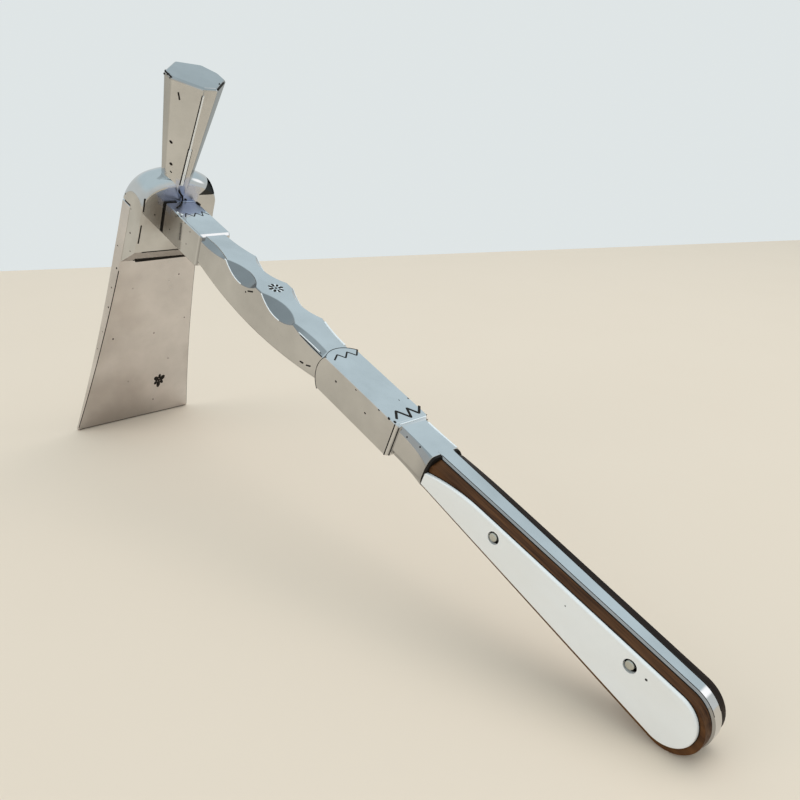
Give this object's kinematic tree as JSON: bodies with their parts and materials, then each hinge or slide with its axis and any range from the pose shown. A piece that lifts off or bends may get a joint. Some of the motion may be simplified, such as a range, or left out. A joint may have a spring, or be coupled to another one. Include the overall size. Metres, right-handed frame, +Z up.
{
  "type": "sugar hammer",
  "caption": "Hand tool for breaking loaf sugar: an octagonal hammer poll and a flared adze blade on a crowned hub, with a filed steel bar and a riveted full-tang handle.",
  "frame": {"origin": "on the surface the tool stands on, under the middle of its bounding box", "axes": "+X from the blade towards the butt of the handle, +Y to the right side seen from the handle's butt, +Z up; the tool stands on its cutting edge and its butt"},
  "size_m": [0.2568, 0.049, 0.1383],
  "materials": {
    "steel": "mirror polished, with fine pits and worn edges",
    "brown": "dark brown, oiled, with a fine lengthwise grain",
    "white": "bone white, smooth, with a few small specks"
  },
  "bodies": {
    "root": {"head": "steel", "blade": "steel", "bar": "steel", "liner_left": "brown", "liner_right": "brown", "plate_left": "white", "plate_right": "white", "pin_front": "steel", "pin_rear": "steel"}
  },
  "joints": []
}
